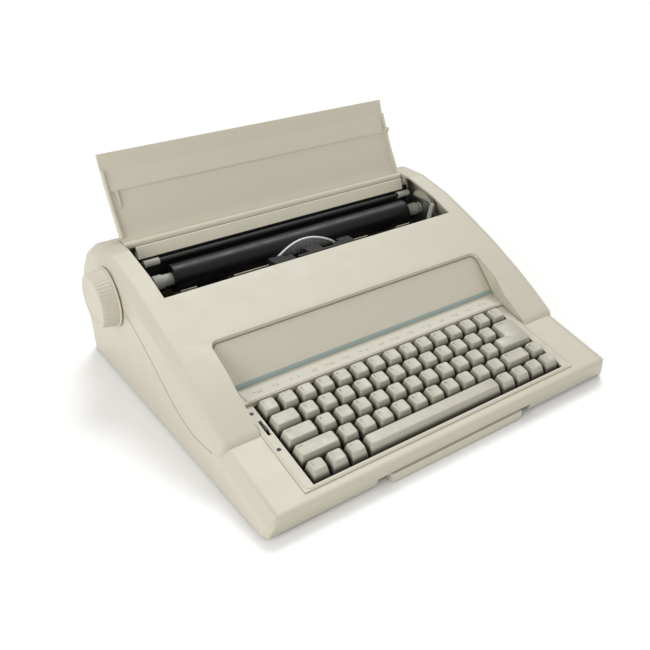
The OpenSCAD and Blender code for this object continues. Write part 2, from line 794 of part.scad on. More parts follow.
module carriage_frame() {
  x = carriage_x;
  color([0.12, 0.12, 0.13]) difference() {
    union() {
      block([x - 48, 38, 43], [x + 48, 74, 57.5]);
      block([x - 18, belt_y - 3, belt_z + pulley_r + 2.2], [x + 18, 40, 50]);
      block([x - 26, 56, 26], [x + 26, 73, 44]);
      // bracket for the wheel motor
      block([x - 24, 52, 57], [x + 24, 56, 104]);
      for (s = [-1, 1]) block([x + s * 46 - 2, 38, 57], [x + s * 46 + 2, 74, 91]);
      // magnet that drives the hammer
      block([x - 9, 55, 87], [x + 9, 70, 103]);
    }
    rod_x(x - 60, x + 60, rail_front[0], rail_front[1], rail_r + 0.06);
    rod_x(x - 60, x + 60, rail_back[0], rail_back[1], rail_r + 0.06);
    rod_y(x, 40, 80, wheel_z, 15);
    rod_y(x, 56, 66.8, hammer_z, 5.3);
    rod_y(x, 60, 80, hammer_z, 2.06);
  }
}

module card_holder() {
  c = [platen_y, platen_z];
  x = carriage_x;
  color([0.85, 0.88, 0.9, 0.4]) intersection() {
    along_x(x - 44, x + 44)
      polygon(concat(arc(c, platen_r + 1.4, 140, 196, 10), arc(c, platen_r + 2.4, 196, 140, 10)));
    translate([x, platen_y - 40, platen_z - 42]) rotate([-90, 0, 0]) cylinder(h = 60, r = 60, $fn = 96);
  }
  color([0.1, 0.1, 0.1]) for (s = [-1, 1]) {
    block([x + s * 44 - 1.5, 74, 70], [x + s * 44 + 1.5, platen_y - platen_r - 2, 99]);
  }
}

module ribbon_cassette() {
  x = carriage_x;
  color([0.07, 0.07, 0.08]) difference() {
    union() {
      block([x - 43, 40, 91], [x + 43, 66, 101]);
      for (s = [-1, 1]) block([x + s * 42 - 8, 52, 91], [x + s * 42 + 8, 72, 101]);
    }
    block([x - 25, 50, 90], [x + 25, 67, 102]);
  }
}

module correction_spools() {
  for (s = [-1, 1]) color([0.9, 0.9, 0.88]) translate([carriage_x + s * 34, 62, 57.6]) {
    cylinder(h = 1.2, r = 9);
    cylinder(h = 12, r = 5);
    translate([0, 0, 10.8]) cylinder(h = 1.2, r = 9);
  }
}

module wheel_motor() {
  color([0.3, 0.3, 0.32]) difference() {
    rod_y(carriage_x, 51, wheel_y - 5, wheel_z, 14.9);
    rod_y(carriage_x, 50, wheel_y, wheel_z, 2.1);
  }
}

module print_wheel() {
  spokes = 48;
  color([0.1, 0.1, 0.1]) {
    rod_y(carriage_x, wheel_y - 1, wheel_y + 1, wheel_z, 11);
    translate([carriage_x, wheel_y + 0.3, wheel_z]) rotate([90, 0, 0]) linear_extrude(0.6)
      for (i = [0:spokes - 1]) rotate(i * 360 / spokes) translate([10, -0.55]) square([wheel_r - 10, 1.1]);
  }
  color([0.75, 0.75, 0.77]) rod_y(carriage_x, 52, wheel_y - 0.5, wheel_z, 2);
}

module print_hammer() {
  color([0.75, 0.75, 0.77]) {
    rod_y(carriage_x, 57, wheel_y - 3.6, hammer_z, 2);
    rod_y(carriage_x, 57, 64, hammer_z, 5);
  }
}

// ---------------------------------------------------------------- handle

module carrying_handle() {
  w = handle_w / 2;
  color([0.80, 0.78, 0.70]) {
    block([-w, grip_y0, grip_z0], [w, grip_y1, grip_z1]);
    for (s = [-1, 1]) {
      x = s * (w - arm_w / 2);
      block([x - arm_w / 2, grip_y1 - 1, arm_z0], [x + arm_w / 2, arm_end_y, arm_z1]);
    }
  }
}

lower_case();
upper_cover();
rubber_feet();
case_screws();
keyboard_bezel();
legend_strip();
accent_stripe();
key_support_plate();
dome_sheet();
main_board();
transformer();
power_inlet();
power_switch();
left_side_frame();
right_side_frame();
front_rail();
rear_rail();
paper_chute();
paper_pan();
line_feed_motor();
carriage_motor();
carriage_belt();
idler_pulley();
drive_pulley();
lid_hinge_pins();
platen_bushes();
top_lid();
platen_roller();
platen_shaft();
platen_collars();
platen_knob();
platen_gear();
feed_pinion();
pressure_rollers();
bail_bar();
bail_rollers();
release_lever();
carriage_frame();
card_holder();
ribbon_cassette();
correction_spools();
wheel_motor();
print_wheel();
print_hammer();
carrying_handle();
pitch_slider();
number_keys_left();
number_keys_right();
upper_row_keys();
tab_key();
home_row_keys();
caps_lock_key();
return_key();
lower_row_keys();
left_shift_key();
right_shift_key();
repeat_key();
front_left_keys();
front_right_keys();
space_bar();
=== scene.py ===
import bpy, bmesh, json, math
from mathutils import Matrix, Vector


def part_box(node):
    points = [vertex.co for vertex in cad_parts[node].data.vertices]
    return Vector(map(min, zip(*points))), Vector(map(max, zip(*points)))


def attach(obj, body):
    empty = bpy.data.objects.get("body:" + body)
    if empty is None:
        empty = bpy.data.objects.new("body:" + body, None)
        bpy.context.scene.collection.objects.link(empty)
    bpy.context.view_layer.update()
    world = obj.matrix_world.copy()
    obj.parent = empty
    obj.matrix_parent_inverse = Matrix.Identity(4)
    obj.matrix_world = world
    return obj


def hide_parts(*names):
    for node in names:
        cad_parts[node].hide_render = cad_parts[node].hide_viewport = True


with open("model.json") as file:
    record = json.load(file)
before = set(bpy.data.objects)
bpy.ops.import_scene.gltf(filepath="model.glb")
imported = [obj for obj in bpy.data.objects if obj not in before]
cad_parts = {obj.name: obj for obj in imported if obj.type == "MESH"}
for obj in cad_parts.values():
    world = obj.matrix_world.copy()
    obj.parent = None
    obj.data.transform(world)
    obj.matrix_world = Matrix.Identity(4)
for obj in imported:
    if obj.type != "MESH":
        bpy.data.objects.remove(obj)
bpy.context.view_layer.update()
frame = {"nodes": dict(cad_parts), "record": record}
NODES = frame["nodes"]
MM = 0.001

SLOT = {part["node"]: part["material_slot"] for part in frame["record"]["subparts"]}
BODY = {}
for body_name, body_nodes in frame["record"]["behaviour"]["bodies"].items():
    for node_name in body_nodes:
        BODY[node_name] = body_name


# ---------------------------------------------------------------- camera, light, floor

def look():
    cam = bpy.data.objects.new("camera", bpy.data.cameras.new("camera"))
    bpy.context.scene.collection.objects.link(cam)
    cam.data.sensor_width = 36.0
    cam.data.lens = 45.55
    cam.data.shift_x = -0.0745
    cam.data.shift_y = -0.0214
    cam.data.clip_start = 0.01
    cam.data.clip_end = 200
    cam.location = (-0.409, -0.6062, 0.4616)
    cam.rotation_euler = (math.radians(61.12), math.radians(0.06), math.radians(-36.69))
    bpy.context.scene.camera = cam


def disk_light(name, at, to, size, power):
    data = bpy.data.lights.new(name, "AREA")
    data.shape = "DISK"
    data.size = size
    data.energy = power
    lamp = bpy.data.objects.new(name, data)
    bpy.context.scene.collection.objects.link(lamp)
    lamp.location = at
    lamp.rotation_euler = (Vector(to) - Vector(at)).to_track_quat("-Z", "Y").to_euler()


def sun(name, toward, power, angle):
    data = bpy.data.lights.new(name, "SUN")
    data.energy = power
    data.angle = math.radians(angle)
    lamp = bpy.data.objects.new(name, data)
    bpy.context.scene.collection.objects.link(lamp)
    lamp.rotation_euler = (-Vector(toward)).to_track_quat("-Z", "Y").to_euler()


def white_floor():
    mesh = bpy.data.meshes.new("floor")
    reach = 60
    corners = [(-reach, -reach, 0), (reach, -reach, 0), (reach, reach, 0), (-reach, reach, 0)]
    mesh.from_pydata(corners, [], [(0, 1, 2, 3)])
    floor = bpy.data.objects.new("floor", mesh)
    bpy.context.scene.collection.objects.link(floor)
    paint = bpy.data.materials.new("floor")
    paint.use_nodes = True
    surface = paint.node_tree.nodes["Principled BSDF"]
    surface.inputs["Base Color"].default_value = (0.97, 0.97, 0.97, 1)
    surface.inputs["Roughness"].default_value = 0.9
    mesh.materials.append(paint)


def studio():
    world = bpy.data.worlds.new("studio")
    bpy.context.scene.world = world
    world.use_nodes = True
    background = world.node_tree.nodes["Background"]
    background.inputs[0].default_value = (1.0, 1.0, 1.0, 1)
    background.inputs[1].default_value = 0.62
    sun("key", (0.50, 0.48, 1.15), 1.50, 28)
    disk_light("left", (-1.75, -0.60, 0.80), (0, 0, 0.08), 1.3, 16)
    bpy.context.scene.view_settings.view_transform = "Standard"
    white_floor()


# ---------------------------------------------------------------- materials

MATS = {}


def material(name, color, rough=0.45, metal=0.0, mottle=0.04, blotch=9.0, grain=1300.0, bump=0.12,
             depth=0.00012, rough_var=0.08, spec=0.5, stretch=None, wear=0.0):
    """A finished surface: slow colour drift, fine speckle, grain in the bump, roughness that changes
    from place to place, and lighter worn edges."""
    m = bpy.data.materials.new(name)
    MATS[name] = m
    m.use_nodes = True
    nt = m.node_tree
    b = nt.nodes["Principled BSDF"]
    b.inputs["Metallic"].default_value = metal
    b.inputs["Specular IOR Level"].default_value = spec
    tc = nt.nodes.new("ShaderNodeTexCoord")
    mp = nt.nodes.new("ShaderNodeMapping")
    mp.inputs["Scale"].default_value = stretch or (1, 1, 1)
    nt.links.new(tc.outputs["Object"], mp.inputs["Vector"])

    def noise(scale, detail):
        n = nt.nodes.new("ShaderNodeTexNoise")
        n.inputs["Scale"].default_value = scale
        n.inputs["Detail"].default_value = detail
        n.inputs["Roughness"].default_value = 0.55
        nt.links.new(mp.outputs["Vector"], n.inputs["Vector"])
        return n.outputs["Fac"]

    def mix(fac, a, c):
        x = nt.nodes.new("ShaderNodeMix")
        x.data_type = "RGBA"
        nt.links.new(fac, x.inputs[0])
        for sock, val in ((x.inputs[6], a), (x.inputs[7], c)):
            if hasattr(val, "node"):
                nt.links.new(val, sock)
            else:
                sock.default_value = (*val, 1)
        return x.outputs[2]

    def span(src, lo, hi, a=0.3, c=0.7):
        r = nt.nodes.new("ShaderNodeMapRange")
        r.inputs["From Min"].default_value = a
        r.inputs["From Max"].default_value = c
        r.inputs["To Min"].default_value = lo
        r.inputs["To Max"].default_value = hi
        nt.links.new(src, r.inputs["Value"])
        return r.outputs["Result"]

    slow = noise(blotch, 3)
    fine = noise(grain, 2)
    dark = tuple(c * (1 - mottle) for c in color)
    light = tuple(min(1, c * (1 + mottle * 0.8)) for c in color)
    warm = (color[0] * (1 + mottle * 0.3), color[1], color[2] * (1 - mottle * 1.4))
    speck = tuple(c * (1 - 2.2 * mottle) for c in color)
    base = mix(span(slow, 0, 1), dark, light)
    base = mix(span(noise(blotch * 2.7, 2), 0, 0.5, 0.45, 0.75), base, warm)
    base = mix(span(fine, 0, 0.35, 0.5, 0.8), base, speck)
    if wear:
        geo = nt.nodes.new("ShaderNodeNewGeometry")
        edge = span(geo.outputs["Pointiness"], 0, wear, 0.53, 0.60)
        base = mix(edge, base, tuple(min(1, c * 1.18 + 0.03) for c in color))
    nt.links.new(base, b.inputs["Base Color"])
    roughness = span(noise(blotch * 5, 4), max(0.02, rough - rough_var), rough + rough_var)
    nt.links.new(roughness, b.inputs["Roughness"])
    bp = nt.nodes.new("ShaderNodeBump")
    bp.inputs["Strength"].default_value = bump
    bp.inputs["Distance"].default_value = depth
    nt.links.new(fine, bp.inputs["Height"])
    nt.links.new(bp.outputs["Normal"], b.inputs["Normal"])
    return m


def skirt_shade(m):
    """Painted shade: darkens the caps towards the foot of their skirts, measured square to the sloping
    keyboard.
    """
    nt = m.node_tree
    b = nt.nodes["Principled BSDF"]
    old = b.inputs["Base Color"].links[0].from_socket
    tc = nt.nodes.new("ShaderNodeTexCoord")
    dot = nt.nodes.new("ShaderNodeVectorMath")
    dot.operation = "DOT_PRODUCT"
    up = Vector((0, -math.sin(SLOPE), math.cos(SLOPE)))
    dot.inputs[1].default_value = up
    nt.links.new(tc.outputs["Object"], dot.inputs[0])
    ramp = nt.nodes.new("ShaderNodeMapRange")
    ramp.interpolation_type = "SMOOTHSTEP"
    level = key_point(0, 0, 0).dot(up)
    ramp.inputs["From Min"].default_value = level - 1.6 * MM
    ramp.inputs["From Max"].default_value = level + 3.2 * MM
    ramp.inputs["To Min"].default_value = 0.10
    ramp.inputs["To Max"].default_value = 1.0
    nt.links.new(dot.outputs["Value"], ramp.inputs["Value"])
    x = nt.nodes.new("ShaderNodeMix")
    x.data_type = "RGBA"
    x.inputs[6].default_value = (0.035, 0.030, 0.020, 1)
    nt.links.new(ramp.outputs["Result"], x.inputs[0])
    nt.links.new(old, x.inputs[7])
    nt.links.new(x.outputs[2], b.inputs["Base Color"])


def plastics():
    material("case_plastic", (0.530, 0.500, 0.402), 0.46, bump=0.30, wear=0.35, mottle=0.013,
             rough_var=0.04)
    # Painted light: the lid's colour is a little lighter than the case's, to lift its inner face, which gets
    # less light.
    material("lid_plastic", (0.580, 0.543, 0.432), 0.48, bump=0.30, wear=0.35, mottle=0.013,
             rough_var=0.04)
    material("bezel_plastic", (0.535, 0.508, 0.410), 0.48, bump=0.35, wear=0.3, mottle=0.013,
             rough_var=0.04)
    material("legend_plastic", (0.545, 0.525, 0.44), 0.42, bump=0.1, mottle=0.02)
    material("black_plastic", (0.010, 0.010, 0.011), 0.45, spec=0.3, bump=0.30, mottle=0.2, wear=0.3)
    material("inlet_plastic", (0.015, 0.015, 0.015), 0.45, bump=0.25, mottle=0.2)
    material("light_plastic", (0.50, 0.50, 0.44), 0.42, bump=0.15, mottle=0.04)
    material("gear_plastic", (0.55, 0.53, 0.42), 0.45, bump=0.12, mottle=0.04)
    # white_plastic is also the colour of the painted highlight along the card shield's arc.
    material("white_plastic", (0.80, 0.80, 0.76), 0.35, bump=0.1, mottle=0.03)
    caps = material("key_plastic", (0.420, 0.403, 0.330), 0.42, bump=0.18, grain=2200, blotch=30,
                    mottle=0.03, wear=0.25)
    skirt_shade(caps)
    clear = material("clear_plastic", (0.86, 0.88, 0.88), 0.12, bump=0.05, mottle=0.02, depth=0.00005)
    clear.node_tree.nodes["Principled BSDF"].inputs["Alpha"].default_value = 0.10
    clear.blend_method = "BLEND"


def paints_and_shadow_lines():
    material("key_ink", (0.10, 0.097, 0.09), 0.5, grain=3000, mottle=0.08)
    material("legend_ink", (0.22, 0.22, 0.20), 0.5, grain=3000, mottle=0.06)
    material("stripe_paint", (0.255, 0.320, 0.290), 0.40, bump=0.08, mottle=0.04, grain=900)
    # gap_shadow and seam_shadow are painted shade: the dark lines at the sunken panel's step and along the
    # side seams.
    material("gap_shadow", (0.200, 0.185, 0.145), 0.8, mottle=0.1)
    material("seam_shadow", (0.330, 0.310, 0.245), 0.7, mottle=0.1)


def rubbers():
    material("foot_rubber", (0.03, 0.03, 0.03), 0.8, bump=0.4, mottle=0.15)
    material("platen_rubber", (0.008, 0.008, 0.009), 0.42, spec=0.3, bump=0.12, grain=2600, mottle=0.25,
             rough_var=0.1)
    material("roller_rubber", (0.02, 0.02, 0.02), 0.7, bump=0.3, mottle=0.2)
    material("belt_rubber", (0.02, 0.02, 0.02), 0.75, bump=0.3, mottle=0.2)
    material("dome_rubber", (0.22, 0.23, 0.20), 0.75, bump=0.3, mottle=0.08)


def metals_and_board():
    material("steel_sheet", (0.50, 0.51, 0.52), 0.34, metal=1.0, stretch=(1, 14, 1), grain=420,
             bump=0.15, mottle=0.06)
    material("steel_rod", (0.40, 0.40, 0.41), 0.26, metal=1.0, stretch=(12, 1, 1), grain=500,
             bump=0.08, mottle=0.04)
    material("dark_rod", (0.035, 0.035, 0.033), 0.30, metal=0.4, bump=0.06, mottle=0.1)
    material("painted_sheet", (0.760, 0.720, 0.570), 0.42, bump=0.2, mottle=0.05, wear=0.2)
    material("motor_metal", (0.05, 0.05, 0.055), 0.35, metal=0.6, bump=0.15, mottle=0.1)
    material("core_metal", (0.07, 0.07, 0.075), 0.5, metal=0.5, stretch=(1, 1, 40), grain=300,
             bump=0.5, mottle=0.15)
    material("pulley_metal", (0.60, 0.60, 0.58), 0.3, metal=1.0, bump=0.08, mottle=0.05)
    material("pinion_brass", (0.60, 0.42, 0.16), 0.28, metal=1.0, bump=0.08, mottle=0.08)
    material("plate_steel", (0.03, 0.03, 0.03), 0.5, bump=0.25, mottle=0.1)
    material("board_laminate", (0.02, 0.11, 0.04), 0.3, bump=0.15, mottle=0.2, grain=700)


# ---------------------------------------------------------------- mesh helpers

def piece(name, shape, mat, body, node=None, smooth=38, bevel=0.0, seg=2):
    """A piece from a shape, which is a pair of vertices and faces."""
    verts, faces = shape
    me = bpy.data.meshes.new(name)
    me.from_pydata([tuple(v) for v in verts], [], faces)
    finish_piece(name, me, mat, body, node, smooth, bevel, seg)


def finish_piece(name, me, mat, body, node=None, smooth=38, bevel=0.0, seg=2):
    bm = bmesh.new()
    bm.from_mesh(me)
    bmesh.ops.remove_doubles(bm, verts=bm.verts, dist=1e-6)
    bmesh.ops.recalc_face_normals(bm, faces=bm.faces)
    bm.to_mesh(me)
    bm.free()
    me.validate()
    o = bpy.data.objects.new(name, me)
    bpy.context.scene.collection.objects.link(o)
    if bevel:
        rim = o.modifiers.new("bevel", "BEVEL")
        rim.width = bevel * MM
        rim.segments = seg
        rim.limit_method = "ANGLE"
        rim.angle_limit = math.radians(32)
        rim.use_clamp_overlap = True
        rim.harden_normals = False
        rim.miter_outer = "MITER_ARC"
        normals = o.modifiers.new("normals", "WEIGHTED_NORMAL")
        normals.keep_sharp = True
        normals.weight = 60
    me.materials.append(MATS[mat])
    me.shade_smooth()
    me.set_sharp_from_angle(angle=math.radians(smooth))
    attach(o, body)
    if node:
        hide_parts(node)


def soften(node, bevel, smooth=35, seg=2, mat=None):
    """The CAD node's own shape with its flat faces joined, its edges rounded and its curves smooth."""
    src = NODES[node]
    me = src.data.copy()
    me.name = node + "_skin"
    bm = bmesh.new()
    bm.from_mesh(me)
    bmesh.ops.transform(bm, matrix=src.matrix_world, verts=bm.verts)
    bmesh.ops.remove_doubles(bm, verts=bm.verts, dist=5e-6)
    bmesh.ops.dissolve_limit(bm, angle_limit=math.radians(1.0), verts=bm.verts, edges=bm.edges)
    bm.to_mesh(me)
    bm.free()
    me.materials.clear()
    finish_piece(node + "_skin", me, mat or SLOT[node], BODY[node], node, smooth, bevel, seg)


def dress(node):
    """A CAD node that keeps its own mesh gets its finished material."""
    me = NODES[node].data
    me.materials.clear()
    me.materials.append(MATS[SLOT[node]])


def around(count):
    """Angles of the given number of points on a full circle."""
    return [2 * math.pi * k / count for k in range(count)]


def quarter(cx, cy, radius, start):
    """Points of a quarter circle, clockwise from the start angle in degrees."""
    steps = 8
    angles = [math.radians(start - 90 * k / steps) for k in range(steps + 1)]
    return [(cx + radius * math.cos(a), cy + radius * math.sin(a)) for a in angles]


def rounded(corners, radius):
    """Outline with rounded corners, each an arc of the same number of points."""
    steps = 5
    out = []
    count = len(corners)
    for i, c in enumerate(corners):
        c = Vector(c)
        a = Vector(corners[i - 1]) - c
        b = Vector(corners[(i + 1) % count]) - c
        half = a.angle(b) / 2
        t = min(radius / math.tan(half), a.length * 0.49, b.length * 0.49)
        r = t * math.tan(half)
        p, q = c + a.normalized() * t, c + b.normalized() * t
        centre = c + (a.normalized() + b.normalized()).normalized() * (r / math.sin(half))
        u, v = p - centre, q - centre
        turn = u.angle(v) if u.length > 1e-9 else 0
        side = 1 if u.x * v.y - u.y * v.x > 0 else -1
        for k in range(steps + 1):
            ang = side * turn * k / steps
            out.append(centre + Vector((u.x * math.cos(ang) - u.y * math.sin(ang),
                                        u.x * math.sin(ang) + u.y * math.cos(ang))))
    return out


def loft(rings, cap_first=False, cap_last=False):
    """The shape between rings of equal length, open or closed at its ends."""
    verts, faces = [], []
    n = len(rings[0])
    for r in rings:
        verts += [tuple(p) for p in r]
    for k in range(len(rings) - 1):
        for i in range(n):
            j = (i + 1) % n
            faces.append((k * n + i, k * n + j, (k + 1) * n + j, (k + 1) * n + i))
    if cap_first:
        faces.append(tuple(range(n))[::-1])
    if cap_last:
        faces.append(tuple(range((len(rings) - 1) * n, len(rings) * n)))
    return verts, faces


def join(shapes):
    verts, faces = [], []
    for v, f in shapes:
        k = len(verts)
        verts += v
        faces += [tuple(i + k for i in g) for g in f]
    return verts, faces


def tube(path, r, n):
    """A round strand with n sides along a path of points."""
    pts = [Vector(p) for p in path]
    rings = []
    last = len(pts) - 1
    up = (pts[1] - pts[0]).normalized().orthogonal().normalized()
    for i, p in enumerate(pts):
        d = (pts[min(i + 1, last)] - pts[max(i - 1, 0)]).normalized()
        up = (up - d * up.dot(d)).normalized()
        side = d.cross(up)
        rings.append([p + (up * math.cos(a) + side * math.sin(a)) * r for a in around(n)])
    return loft(rings, True, True)


def in_metres(x, y, z):
    return (x * MM, y * MM, z * MM)


def prism(outline, x0, x1, place=in_metres):
    """An outline in (y, z), in millimetres, with its width along X."""
    rings = [[place(x, y, z) for y, z in outline] for x in (x0, x1)]
    return loft(rings, True, True)


# ---------------------------------------------------------------- keyboard

PITCH = 19.05
SLOPE = math.radians(13)
KEY_GAP = 1.6
CAP_TOP = 6.2
BEZEL_SIDE = 11
BEZEL_FRONT = 4.5
BOSS_FRONT = 8.2
BOSS_FOOT = 8.6

# The bezel reaches BEZEL_SIDE left of the keys and BEZEL_FRONT in front of them. Its lowest points are
# the feet of its front bosses.
bezel_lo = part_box("keyboard_bezel")[0]
KEYS_X = bezel_lo[0] / MM + BEZEL_SIDE
KEYS_Y = bezel_lo[1] / MM + BEZEL_FRONT * math.cos(SLOPE)
KEYS_Z = bezel_lo[2] / MM + BOSS_FOOT * math.cos(SLOPE) - BOSS_FRONT * math.sin(SLOPE)

# Each row of keys from the rear: place from the left and row from the front, both in pitches, width in
# pitches, and the mark on the cap.
ROWS = {
    "number_keys_left": [(i, 4, 1, t) for i, t in enumerate("+123456")],
    "number_keys_right": [(i + 7, 4, 1, t) for i, t in enumerate(["7", "8", "9", "0", "-", "=", "<", "<<"])],
    "upper_row_keys": [(1.5 + i, 3, 1, t) for i, t in enumerate("QWERTYUIOP[]")],
    "tab_key": [(0, 3, 1.5, "->")],
    "home_row_keys": [(1.75 + i, 2, 1, t) for i, t in enumerate("ASDFGHJKL;'")],
    "caps_lock_key": [(0, 2, 1.75, "LOCK")],
    "lower_row_keys": [(2.25 + i, 1, 1, t) for i, t in enumerate("ZXCVBNM,./")],
    "left_shift_key": [(0, 1, 2.25, "SHIFT")],
    "right_shift_key": [(12.25, 1, 1.75, "SHIFT")],
    "repeat_key": [(14, 1, 1, "R")],
    "front_left_keys": [(i, 0, 1, t) for i, t in enumerate(["C", "<-", "->"])],
    "front_right_keys": [(11 + i, 0, 1, t) for i, t in enumerate(["^", "v", "/\\", "\\/"])],
    "space_bar": [(3, 0, 8, "")],
}


def key_point(u, v, w):
    """A point of the keyboard's sloping frame, in millimetres, as a place in the part's frame."""
    return Vector(((KEYS_X + u) * MM,
                   (KEYS_Y + v * math.cos(SLOPE) - w * math.sin(SLOPE)) * MM,
                   (KEYS_Z + v * math.sin(SLOPE) + w * math.cos(SLOPE)) * MM))


def on_keyboard(shape):
    verts, faces = shape
    return [tuple(key_point(*p)) for p in verts], faces


def top_face(corners, deep):
    """A cap's top as its centre, its half sizes and the depth of its hollow."""
    us = [c[0] for c in corners]
    vs = [c[1] for c in corners]
    return sum(us) / len(us), sum(vs) / len(vs), (max(us) - min(us)) / 2, (max(vs) - min(vs)) / 2, deep


def top_height(u, v, face):
    """The level of a cap's hollowed top at a point."""
    cu, cv, half_u, half_v, deep = face
    du, dv = (u - cu) / max(half_u, 1), (v - cv) / max(half_v, 1)
    return CAP_TOP - deep * max(0.0, 1 - du * du) * (1 - 0.35 * min(1, dv * dv))


def flat_ring(corners, radius, z):
    return [(p.x, p.y, z) for p in rounded(corners, radius)]


def skirt_rings(low, top):
    """Rings from a cap's foot to the edge of its top, rounder and narrower as they rise."""

    def between(t):
        return [(a[0] + (b[0] - a[0]) * t, a[1] + (b[1] - a[1]) * t) for a, b in zip(low, top)]

    rings = [flat_ring(low, 0.5, -5.0), flat_ring(low, 0.8, -2.5), flat_ring(between(0.12), 1.1, -1.5)]
    for t in (0.35, 0.6, 0.82):
        rings.append(flat_ring(between(t), 1.1 + 1.1 * t, -2.5 + (CAP_TOP - 0.7 + 2.5) * t))
    rings.append(flat_ring(top, 2.4, CAP_TOP - 0.75))
    return rings


def inset_ring(edge, distance, drop, face):
    """The outline of the top, moved inwards and laid on the hollow, or just below it."""
    cu, cv, half_u, half_v = face[:4]
    out = []
    for p in edge:
        q = p.copy()
        du, dv = q.x - cu, q.y - cv
        q.x -= math.copysign(min(abs(du), distance), du) * min(1, abs(du) / (half_u * 0.5))
        q.y -= math.copysign(min(abs(dv), distance), dv) * min(1, abs(dv) / (half_v * 0.5))
        out.append((q.x, q.y, top_height(q.x, q.y, face) - drop))
    return out


def straight_cap(x, row, width):
    """The cap of a key with straight sides, and its top face."""
    u0, v0, u1, v1 = x * PITCH, row * PITCH, (x + width) * PITCH, (row + 1) * PITCH
    low0, low1 = (u0 + KEY_GAP, v0 + KEY_GAP), (u1 - KEY_GAP, v1 - KEY_GAP)
    front = 5.5 if row == 0 else 4.2
    top0, top1 = (u0 + 3, v0 + front), (u1 - 3, v1 - 2)
    low = [low0, (low1[0], low0[1]), low1, (low0[0], low1[1])]
    top = [top0, (top1[0], top0[1]), top1, (top0[0], top1[1])]
    face = top_face(top, 0.0 if width > 3 else 0.55)
    cu, cv = face[:2]
    rings = skirt_rings(low, top)
    edge = rounded(top, 2.4)
    rings += [inset_ring(edge, distance, drop, face) for distance, drop in ((0.18, 0.38), (0.5, 0.12))]
    inner = inset_ring(edge, 0.95, 0.0, face)
    rings.append(inner)
    for t in (0.8, 0.55, 0.28):
        shrunk = [(cu + (p[0] - cu) * t, cv + (p[1] - cv) * t) for p in inner]
        rings.append([(u, v, top_height(u, v, face)) for u, v in shrunk])
    verts, faces = loft(rings)
    n = len(edge)
    middle = len(verts)
    verts.append((cu, cv, top_height(cu, cv, face)))
    faces += [(middle - n + i, middle - n + (i + 1) % n, middle) for i in range(n)]
    faces.append(tuple(range(n))[::-1])
    return verts, faces, face


def l_shaped_cap(low, top):
    """The flat-topped cap of the return key; each corner of its top moves inwards as it rounds over."""
    inwards = ((1, 1), (-1, 1), (-1, -1), (1, -1), (1, -1), (1, -1))
    rings = skirt_rings(low, top)
    for distance, radius, z in ((0.2, 2.3, CAP_TOP - 0.35), (0.7, 2.0, CAP_TOP)):
        corners = [(c[0] + distance * s[0], c[1] + distance * s[1]) for c, s in zip(top, inwards)]
        rings.append(flat_ring(corners, radius, z))
    verts, faces = loft(rings, cap_last=True)
    faces.append(tuple(range(len(rings[0])))[::-1])
    return verts, faces


def stem(x, row, width):
    """The round stem under the middle of a cap."""
    cu, cv = (x + width / 2) * PITCH, (row + 0.5) * PITCH
    rings = [[(cu + 2.4 * math.cos(a), cv + 2.4 * math.sin(a), z) for a in around(16)] for z in (-9.7, -4.5)]
    return loft(rings, True, True)


def glyph(text):
    """Flat shape of some letters, about 1 high, from Blender's own font."""
    curve = bpy.data.curves.new("glyph", "FONT")
    curve.body = text
    curve.resolution_u = 3
    o = bpy.data.objects.new("glyph", curve)
    me = bpy.data.meshes.new_from_object(o)
    verts = [(p.co.x, p.co.y) for p in me.vertices]
    faces = [tuple(q.vertices) for q in me.polygons]
    bpy.data.objects.remove(o)
    bpy.data.curves.remove(curve)
    bpy.data.meshes.remove(me)
    return verts, faces


def mark(text, face, at, size):
    """Letters laid just over a cap's top, with their lower left corner at a point."""
    verts, faces = glyph(text)
    out = []
    for a, b in verts:
        u, v = at[0] + a * size, at[1] + b * size
        out.append((u, v, top_height(u, v, face) + 0.035))
    return on_keyboard((out, faces))


def key_rows():
    mark_size = {1: 4.4, 2: 3.2, 4: 2.5, 5: 2.5}
    for node, keys in ROWS.items():
        caps, marks = [], []
        for x, row, width, text in keys:
            verts, faces, face = straight_cap(x, row, width)
            caps += [on_keyboard((verts, faces)), on_keyboard(stem(x, row, width))]
            if text:
                size = mark_size[len(text)]
                cu, cv, half_u, half_v = face[:4]
                corner = (cu - half_u + 1.6, cv + half_v - 1.6 - size * 0.75)
                marks.append(mark(text, face, corner, size))
        piece(node + "_caps", join(caps), "key_plastic", BODY[node], node, smooth=50)
        if marks:
            piece(node + "_marks", join(marks), "key_ink", BODY[node], smooth=80)


def return_key():
    """The L-shaped key: one row deep at its left, two rows deep at its right."""
    left, step, right = 12.75 * PITCH, 13.5 * PITCH, 15 * PITCH
    front, middle, rear = 2 * PITCH, 3 * PITCH, 4 * PITCH
    low = [(left + KEY_GAP, front + KEY_GAP), (right - KEY_GAP, front + KEY_GAP),
           (right - KEY_GAP, rear - KEY_GAP), (step + KEY_GAP, rear - KEY_GAP),
           (step + KEY_GAP, middle - KEY_GAP), (left + KEY_GAP, middle - KEY_GAP)]
    top = [(left + 3, front + 4.2), (right - 3, front + 4.2), (right - 3, rear - 2), (step + 3, rear - 2),
           (step + 3, middle - 2), (left + 3, middle - 2)]
    shape = join([on_keyboard(l_shaped_cap(low, top)), on_keyboard(stem(12.75, 2, 2.25))])
    piece("return_key_cap", shape, "key_plastic", "return_key", "return_key", smooth=50)
    letters = mark("RETURN", top_face(top, 0.0), (step + 4.6, rear - 6.2), 2.6)
    piece("return_key_marks", letters, "key_ink", "return_key", smooth=80)


# ---------------------------------------------------------------- around the keys

